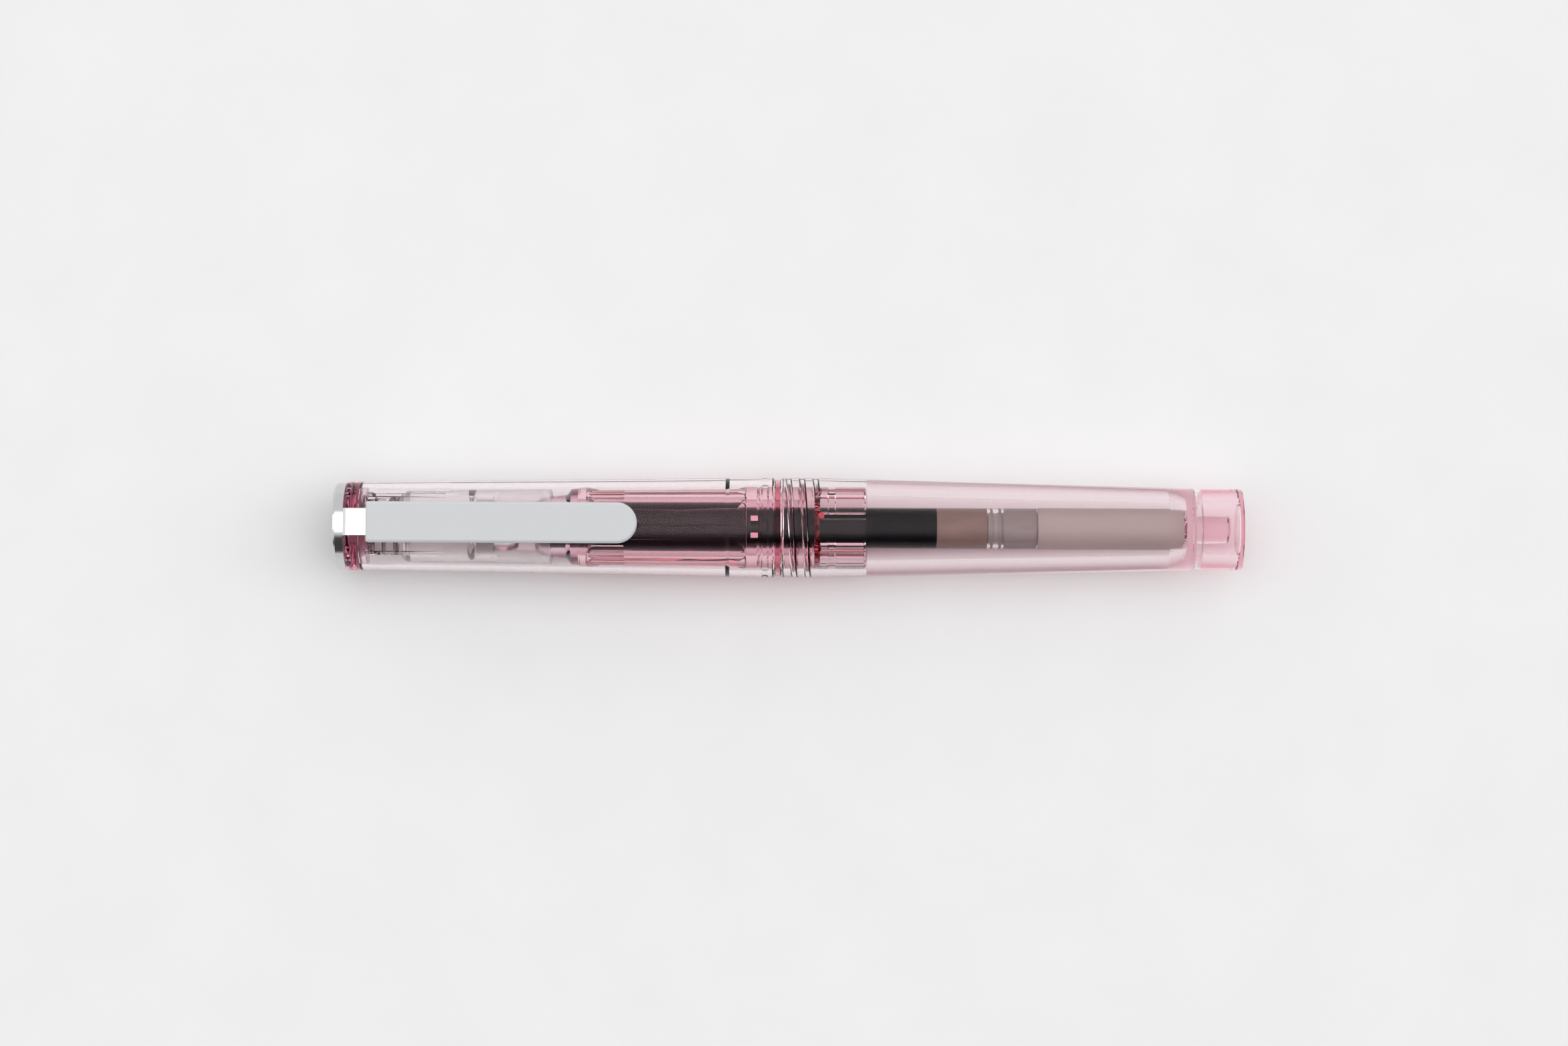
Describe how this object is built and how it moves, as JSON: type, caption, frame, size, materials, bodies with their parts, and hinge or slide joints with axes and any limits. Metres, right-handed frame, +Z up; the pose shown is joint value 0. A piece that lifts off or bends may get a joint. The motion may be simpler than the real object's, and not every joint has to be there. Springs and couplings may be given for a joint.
{
  "type": "fountain pen",
  "caption": "Capped fountain pen with a see-through tinted body, spring clip, sprung inner cap, turning grip, threaded barrel and twist-piston ink converter.",
  "frame": {"origin": "bottom centre of the pen's box: midway along its length, on the surface it lies on", "axes": "+X along the pen from the cap's metal end to the barrel's end plug, +Z up through the clip, +Y across the pen"},
  "size_m": [0.1348, 0.0148, 0.0171],
  "materials": {
    "plated_steel": "satin plating",
    "polished_steel": "bright polish",
    "spring_steel": "dark drawn wire",
    "grey_cover": "fine matte, pale grey",
    "clear_pink_shell": "clear pale pink plastic, glossy",
    "clear_pink_grip": "clear mid pink plastic, glossy",
    "clear_rose": "clear deep pink plastic, glossy",
    "milky_plastic": "milky translucent plastic",
    "soft_seal": "soft translucent grey",
    "rose_seal": "soft rose ring",
    "clear_tube": "clear colourless plastic",
    "smoke_plastic": "smoky translucent plastic",
    "black_plastic": "black, slightly satin",
    "black_ink": "liquid black",
    "red_dot": "red inlay"
  },
  "bodies": {
    "core": {"feed": "black_plastic", "nib": "polished_steel", "nib_holder": "clear_rose", "coupler": "clear_pink_grip", "index_dot": "red_dot", "converter_tube": "clear_tube", "ink": "black_ink", "converter_bush": "milky_plastic"},
    "grip": {"grip": "clear_pink_grip"},
    "cap": {"cap_shell": "clear_pink_shell", "cap_head": "clear_rose", "cap_disc": "plated_steel", "clip_ring": "plated_steel", "inner_cap_spring": "spring_steel"},
    "clip": {"clip_strap": "polished_steel", "clip_sleeve": "grey_cover"},
    "inner_cap": {"inner_cap": "milky_plastic", "inner_cap_seal": "soft_seal"},
    "mouth_ring": {"mouth_ring": "rose_seal"},
    "barrel": {"barrel": "clear_pink_shell", "end_plug": "clear_rose"},
    "converter_knob": {"converter_knob": "smoke_plastic"},
    "piston": {"piston_seal": "soft_seal", "piston_rod": "milky_plastic"}
  },
  "joints": [
    {"name": "cap_pull", "type": "slide", "parent": "core", "child": "cap", "axis": [-1, 0, 0], "range_m": [0, 0.06]},
    {"name": "inner_cap_float", "type": "slide", "parent": "cap", "child": "inner_cap", "axis": [1, 0, 0], "range_m": [-0.0012, 0.001], "stiffness_N_per_m": 150, "deforming": ["inner_cap_spring"]},
    {"name": "clip_lift", "type": "hinge", "parent": "cap", "child": "clip", "pos_m": [-0.06493, 0, 0.01404], "axis": [0, -1, 0], "range_deg": [0, 5], "stiffness_Nm_per_rad": 1},
    {"name": "grip_turn", "type": "hinge", "parent": "core", "child": "grip", "pos_m": [-0.01795, 0, 0.00742], "axis": [1, 0, 0], "range_deg": [-20, 20]},
    {"name": "barrel_advance", "type": "slide", "parent": "core", "child": "mouth_ring", "axis": [1, 0, 0], "range_m": [0, 0.0048]},
    {"name": "barrel_screw", "type": "hinge", "parent": "mouth_ring", "child": "barrel", "pos_m": [0.00165, 0, 0.00742], "axis": [1, 0, 0], "range_deg": [0, 864]},
    {"name": "knob_turn", "type": "hinge", "parent": "core", "child": "converter_knob", "pos_m": [0.04265, 0, 0.00742], "axis": [1, 0, 0], "range_deg": [0, 576]},
    {"name": "piston_slide", "type": "slide", "parent": "core", "child": "piston", "axis": [-1, 0, 0], "range_m": [0, 0.0072]}
  ],
  "couplings": [
    {"joint": "barrel_screw", "follows": "barrel_advance", "rad_per_m": 3141.6},
    {"joint": "knob_turn", "follows": "piston_slide", "rad_per_m": 1396.3}
  ]
}
